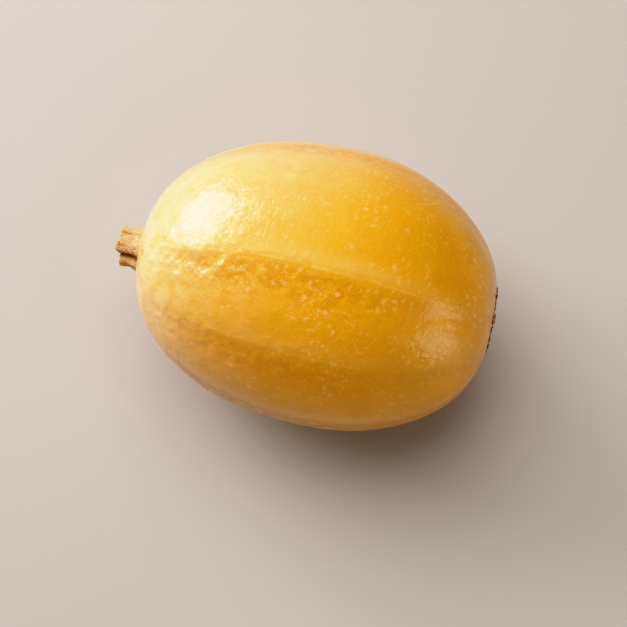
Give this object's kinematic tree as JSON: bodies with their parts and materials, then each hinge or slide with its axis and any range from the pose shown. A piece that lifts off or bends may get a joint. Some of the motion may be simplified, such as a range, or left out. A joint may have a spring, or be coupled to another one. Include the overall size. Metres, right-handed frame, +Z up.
{
  "type": "spaghetti squash",
  "caption": "Ripe golden spaghetti squash, oblong and faintly ribbed, with a short cut stem, lying on its flat spot.",
  "frame": {"origin": "bottom centre of the whole squash's box, on the surface that it rests on", "axes": "+X along the fruit from the stem end to the blossom end, +Z up"},
  "size_m": [0.2028, 0.149, 0.1423],
  "materials": {
    "rind": "hard waxy rind, golden yellow with cream flecks, softly glossy",
    "stem_wood": "dry, rough, grooved tan stem"
  },
  "bodies": {
    "root": {"fruit": "rind", "stem": "stem_wood"}
  },
  "joints": []
}
